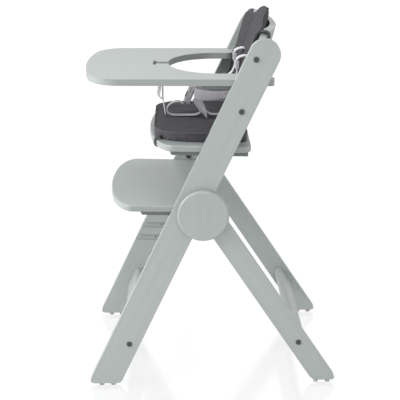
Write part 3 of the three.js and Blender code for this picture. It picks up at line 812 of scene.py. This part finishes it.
class HIGHCHAIR_OT_seat_pad(bpy.types.Operator):
    """Seat pad: a crowned stuffed cushion with a piped side seam and front straps"""

    bl_idname = "highchair.seat_pad"
    bl_label = "Seat pad"

    def execute(self, context):
        sizes = context.scene.chair_pads
        pad, ring = stuffed("seat_pad_cushion", seat_outline(0.002), SEAT_DEPTH, sizes, 0.92)

        def settle_top(co):
            # a shallow hollow where a child sits, with creases running out to the seam
            if co.z < SEAT_DEPTH * 0.8:
                return Vector((0, 0, 0))
            away = rim_distance(co, ring)
            share = min(1, away / 0.03)
            sag = -0.0025 * math.exp(-((co.x / 0.09) ** 2 + ((co.y + 0.01) / 0.05) ** 2))
            wave = math.sin(co.y / 0.011 + 3 * noise.noise(co / 0.05))
            fold = 0.0011 * wave * math.exp(-away / 0.02)
            return Vector((0, 0, (sag + crumple(co, 0.04, 0.0016)) * share + fold * share))

        tuck(pad, settle_top)
        stand = seat_matrix() @ Matrix.Translation((0, 0, 0.0006))
        pad.data.transform(stand)
        rise = Vector((0, 0, SEAT_DEPTH + 0.0006))
        seam = [stand @ (p + rise) for p in dense_ring(seat_outline(0.001))]
        dress_pad(pad, look_once("pad_cloth", cloth_look()), seam, "frame", "seat_pad")
        self.front_straps()
        return {"FINISHED"}

    def front_straps(self):
        """Straps from the pad's front corners round the plate's rounded front corners."""
        cloth = look_once("pad_cloth", cloth_look())
        for side, sign in SIDES:
            belt(f"seat_pad_strap_{side}",
                 [((sign * x, y, z), (sign * 0.9, 0.42, 0), 13) for x, y, z in CORNER_STRAP],
                 "frame", thick=0.002, slot="pad_cloth", material=cloth)


class HIGHCHAIR_OT_back_pad(bpy.types.Operator):
    """Back pad: lies across the bent shell and stands above its top edge"""

    bl_idname = "highchair.back_pad"
    bl_label = "Back pad"

    def bend(self, co):
        """Lays a point of the flat pad on the bent shell: x across, y up the back, z forward."""
        # the pad is thinner towards its sides
        share = (co.x / 0.196) ** 2
        rear = 0.0215 - 0.0275 * share
        front = -co.z * (1.36 - 0.56 * share)
        return back_matrix() @ Vector((co.x, rear + front, co.y))

    def seam(self):
        """The piping's line: at the pad's front down its sides, halfway back along its top."""
        line = dense_ring(back_outline(0.0015))
        points = []
        for i, p in enumerate(line):
            along = (line[(i + 3) % len(line)] - line[i - 3]).normalized()
            share = 0.45 + 0.6 * abs(along.y) if p.y > 0.1 else 1.03
            points.append(self.bend(p + Vector((0, 0, BACK_DEPTH * share))))
        return points

    def execute(self, context):
        sizes = context.scene.chair_pads
        pad, ring = stuffed("back_pad_cushion", back_outline(0.002), BACK_DEPTH, sizes, 0.9)

        def quilt(co):
            # two sewn channels that spread upwards, and soft creases between the seams
            if co.z < BACK_DEPTH * 0.8:
                return Vector((0, 0, 0))
            channel = math.exp(-(((abs(co.x) - 0.085 - 0.02 * co.y / 0.2) / 0.006) ** 2))
            fade = min(1, rim_distance(co, ring) / 0.02)
            return Vector((0, 0, -0.0032 * channel * fade + crumple(co, 0.045, 0.0014) * fade))

        tuck(pad, quilt)
        for v in pad.data.vertices:
            v.co = self.bend(v.co)
        outward = bmesh.new()
        outward.from_mesh(pad.data)
        bmesh.ops.recalc_face_normals(outward, faces=outward.faces)
        outward.to_mesh(pad.data)
        outward.free()
        # painted shade: the back pad takes the pads' cloth darkened to 0.6, to tone down the
        # light on its front
        cloth = look_once("back_cloth_painted_shade", cloth_look(0.6))
        dress_pad(pad, cloth, self.seam(), "frame", "back_pad")
        return {"FINISHED"}


# ---------------------------------------------------------------- harness
def along_run(points, per_span=6):
    """A smooth run through points, as Catmull-Rom samples."""
    ends = [points[0] * 2 - points[1]] + list(points) + [points[-1] * 2 - points[-2]]
    run = []
    for i in range(1, len(ends) - 2):
        a, b, c, d = ends[i - 1:i + 3]
        for k in range(per_span):
            t = k / per_span
            run.append(0.5 * ((2 * b) + (c - a) * t + (2 * a - 5 * b + 4 * c - d) * t * t
                              + (3 * b - a - 3 * c + d) * t * t * t))
    run.append(points[-1].copy())
    return run


BELT_COLUMNS = 4
UV_REPEAT = 0.025                              # a belt's length over which its UV grows by 1


def belt_ribbon(centres, across):
    """A flat ribbon, extruded station by station, with a UV that runs along it."""
    bm = bmesh.new()
    uv = bm.loops.layers.uv.new("belt")
    first = [bm.verts.new(centres[0] + across[0] * (2 * k / BELT_COLUMNS - 1))
             for k in range(BELT_COLUMNS + 1)]
    row = [bm.edges.new(pair) for pair in zip(first, first[1:])]
    place = {v: (k / BELT_COLUMNS, 0.0) for k, v in enumerate(first)}
    length = 0.0
    for i in range(1, len(centres)):
        grown = bmesh.ops.extrude_edge_only(bm, edges=row)["geom"]
        verts = [g for g in grown if isinstance(g, bmesh.types.BMVert)]
        row = [g for g in grown
               if isinstance(g, bmesh.types.BMEdge) and all(v in verts for v in g.verts)]
        before, old_across = centres[i - 1], across[i - 1]
        length += (centres[i] - before).length
        for v in verts:
            # each new corner starts where its column was one station back
            share = (v.co - before).dot(old_across.normalized()) / max(old_across.length, 1e-9)
            v.co = centres[i] + across[i] * share
            place[v] = ((share + 1) / 2, length / UV_REPEAT)
    for face in bm.faces:
        face.smooth = True
        for loop in face.loops:
            loop[uv].uv = place[loop.vert]
    return bm


def belt(name, stations, body, stands_for=(), thick=0.0017, slot="webbing", material=None):
    """A woven belt: stations are (centre, direction across, width), in millimetres."""
    centres = along_run([Vector(c) * MM for c, _, _ in stations])
    across = along_run([Vector(w).normalized() * (wide * MM / 2) for _, w, wide in stations])
    cloth = material or look_once("belt_webbing", webbing_look)
    piece = new_piece(name, belt_ribbon(centres, across), cloth, body, slot, stands_for)
    wall = piece.modifiers.new("Thickness", "SOLIDIFY")
    wall.thickness = thick
    wall.offset = 0
    soft = piece.modifiers.new("Soft edge", "BEVEL")
    soft.width = thick * 0.3
    soft.segments = 2
    soft.limit_method = "ANGLE"
    soft.angle_limit = math.radians(50)
    return piece


# runs of the belts, in millimetres; a pair is a place along Y and Z
SHOULDER_RUN = ((150, 751.5), (120, 759.6), (89.3, 768.3), (79, 767.6), (72.5, 765.5),
                (68.3, 762.2), (67, 758), (67, 733), (66, 723), (57, 710.5), (41, 703),
                (10, 698.5), (-20, 697))
SHOULDER_LOW, SHOULDER_TURN = 697, 33          # over this height the belts spread
SHOULDER_IN, SHOULDER_SPREAD = 26, 32          # apart at the buckle, and how much more above
WAIST_RUN = ((42, -35, -0.1), (60, -14, 0.15), (90, 12, 0.5), (125, 36, 0.8), (150, 52, 0.9))
WAIST_FROM = -35
LEFT_DROOP, LEFT_FORWARD = 0.19, 0.07          # the left waist belt hangs lower and more forward
CROTCH_X = 17
CROTCH_TAIL = ((-24, 664), (-15, 648), (-8, 631), (3, 620), (22, 618.5), (46, 618))
CROTCH_RUN = (((27, -6, 613), (1, 0.15, 0), 16), ((28, -11, 623), (0.8, 0.6, 0.1), 18),
              ((29.5, -19, 640), (0.25, 1, 0.2), 20), ((30, -27, 653), (0.1, 1, 0.25), 20),
              ((30, -30, 661), (0.05, 1, 0.25), 19))
CROTCH_LOOP = ((-62, 645.5), (-72, 652), (-90, 648), (-100.5, 637), (-99, 625), (-88, 619),
               (-58, 618), (-33, 618.5), (-20, 624))
TRAY_RUN = ((-126, 739), (-119, 738.5), (-112.6, 733), (-111, 720), (-111, 690), (-110.9, 656),
            (-107.5, 630), (-106, 617.6))
TRAY_END = ((-113.2, 729), (-114.5, 712), (-117, 692), (-121, 672), (-121.5, 663), (-118, 657.5),
            (-113, 656))
# over the shell's top edge, as pairs across the back's thickness and up it
PAD_STRAP_RUN = ((-9, 163), (-6, 173), (-1, 180), (7, 182.6), (14, 181.2), (19, 175), (19.8, 164),
                 (19.4, 145), (19.2, 117))
PAD_STRAP_X, PAD_STRAP_TURN = 186, 0.3


def in_plane(x, run, across, wide):
    """Stations of a belt that runs at one x."""
    return [((x, y, z), across, wide) for y, z in run]


class HIGHCHAIR_OT_harness(bpy.types.Operator):
    """Five-point harness, the tray's belt and the straps behind the back pad"""

    bl_idname = "highchair.harness"
    bl_label = "Harness"

    def shoulder_belt(self, side, sign):
        """From its slot in the shell through its adjuster and down to the buckle."""
        stations = []
        for y, z in SHOULDER_RUN:
            t = min(1, max(0, (z - SHOULDER_LOW) / SHOULDER_TURN))
            x = sign * (SHOULDER_IN + SHOULDER_SPREAD * t * t * (3 - 2 * t))
            stations.append(((x, y, z), (1, 0, 0), 25))
        belt(f"shoulder_belt_{side}", stations, "frame", [f"shoulder_strap_{side}"])

    def waist_belt(self, side, sign):
        """From its tongue outwards and back, rising a little."""
        left = sign < 0
        stations = []
        for x, y, turn in WAIST_RUN:
            past = y - WAIST_FROM
            rise = 673.5 + 0.006 * (y + 20) ** 2 - 0.000025 * (y + 20) ** 3
            z = rise - (LEFT_DROOP * past if left else 0)
            forward = LEFT_FORWARD * past if left else 0
            stations.append(((sign * x, y - forward, z), (sign * turn, 0, 1), 26))
        belt(f"waist_belt_{side}", stations, f"tongue_{side}", [f"waist_strap_{side}"])

    def pad_strap(self, side, sign):
        """A cloth strap from the back pad's rim over the shell's top edge and down its rear."""
        across = (sign * math.cos(PAD_STRAP_TURN), -math.sin(PAD_STRAP_TURN), 0)
        stations = []
        for y, up in PAD_STRAP_RUN:
            at = back_matrix() @ (Vector((sign * PAD_STRAP_X, y, up)) * MM)
            stations.append((at / MM, across, 21))
        belt(f"pad_belt_{side}", stations, "frame", [f"pad_strap_{side}"], thick=0.0022,
             slot="pad_cloth", material=look_once("pad_cloth", cloth_look()))

    def execute(self, context):
        for side, sign in SIDES:
            self.shoulder_belt(side, sign)
            self.waist_belt(side, sign)
        belt("crotch_belt_tail", in_plane(CROTCH_X, CROTCH_TAIL, (1, 0, 0), 18), "frame",
             ["crotch_tail"])
        belt("crotch_belt", CROTCH_RUN, "frame", ["crotch_strap"])
        belt("crotch_belt_loop", in_plane(CROTCH_X, CROTCH_LOOP, (1, 0, 0.05), 24), "frame",
             ["crotch_loop"])
        belt("tray_belt", in_plane(0, TRAY_RUN, (1, 0.1, 0), 25), "tray", ["tray_strap"])
        # the loose end of the tray's belt, doubled forward over its upper half
        belt("tray_belt_end", in_plane(0, TRAY_END, (1, 0.28, 0), 24), "tray")
        for side, sign in SIDES:
            self.pad_strap(side, sign)
        return {"FINISHED"}


class HIGHCHAIR_OT_buckle(bpy.types.Operator):
    """Buckle, its button, the tongues, the strap adjusters and the tray's anchor bar"""

    bl_idname = "highchair.buckle"
    bl_label = "Buckle"

    def execute(self, context):
        pale = look_once("buckle_plastic", plastic_look((0.5, 0.5, 0.52), 0.38))
        dark = look_once("dark_plastic", plastic_look((0.045, 0.045, 0.05), 0.45))
        for node, body, slot, material, width in (
            ("buckle_body", "frame", "buckle", pale, 0.0022),
            ("buckle_button", "button", "dark_plastic", dark, 0.0008),
            ("tongue_left", "tongue_left", "buckle", pale, 0.0007),
            ("tongue_right", "tongue_right", "buckle", pale, 0.0007),
            ("strap_adjuster_left", "adjuster_left", "buckle", pale, 0.0011),
            ("strap_adjuster_right", "adjuster_right", "buckle", pale, 0.0011),
            ("tray_strap_bar", "tray", "dark_plastic", dark, 0.0009),
        ):
            bm = solid_copy(node)
            round_edges(bm, sharp_edges(bm, 40), width)
            smooth_by_angle(bm, 35)
            even_normals(new_piece(node + "_moulded", bm, material, body, slot, [node]))
        return {"FINISHED"}


# ---------------------------------------------------------------- panel and running order
ORDER = (HIGHCHAIR_OT_stage, HIGHCHAIR_OT_side_frames, HIGHCHAIR_OT_plates,
         HIGHCHAIR_OT_small_hardware, HIGHCHAIR_OT_seat_pad, HIGHCHAIR_OT_back_pad,
         HIGHCHAIR_OT_harness, HIGHCHAIR_OT_buckle)


class HIGHCHAIR_PT_panel(bpy.types.Panel):
    """Lists the chair's settings and its building steps in the sidebar"""

    bl_idname = "HIGHCHAIR_PT_panel"
    bl_label = "High Chair"
    bl_space_type = "VIEW_3D"
    bl_region_type = "UI"
    bl_category = "High Chair"

    def draw(self, context):
        layout = self.layout
        scene = context.scene
        for group in (scene.chair_finish, scene.chair_pads, scene.chair_stage):
            for name in group.bl_rna.properties.keys():
                if name not in ("rna_type", "name"):
                    layout.prop(group, name)
        for operator in ORDER:
            layout.operator(operator.bl_idname)


CLASSES = (ChairFinish, PadSizes, StageSettings, *ORDER, HIGHCHAIR_PT_panel)


def register():
    for item in CLASSES:
        bpy.utils.register_class(item)
    bpy.types.Scene.chair_finish = PointerProperty(type=ChairFinish)
    bpy.types.Scene.chair_pads = PointerProperty(type=PadSizes)
    bpy.types.Scene.chair_stage = PointerProperty(type=StageSettings)


def unregister():
    del bpy.types.Scene.chair_stage
    del bpy.types.Scene.chair_pads
    del bpy.types.Scene.chair_finish
    for item in reversed(CLASSES):
        bpy.utils.unregister_class(item)


def main():
    register()
    for operator in ORDER:
        group, name = operator.bl_idname.split(".")
        getattr(getattr(bpy.ops, group), name)()


if __name__ == "__main__":
    main()
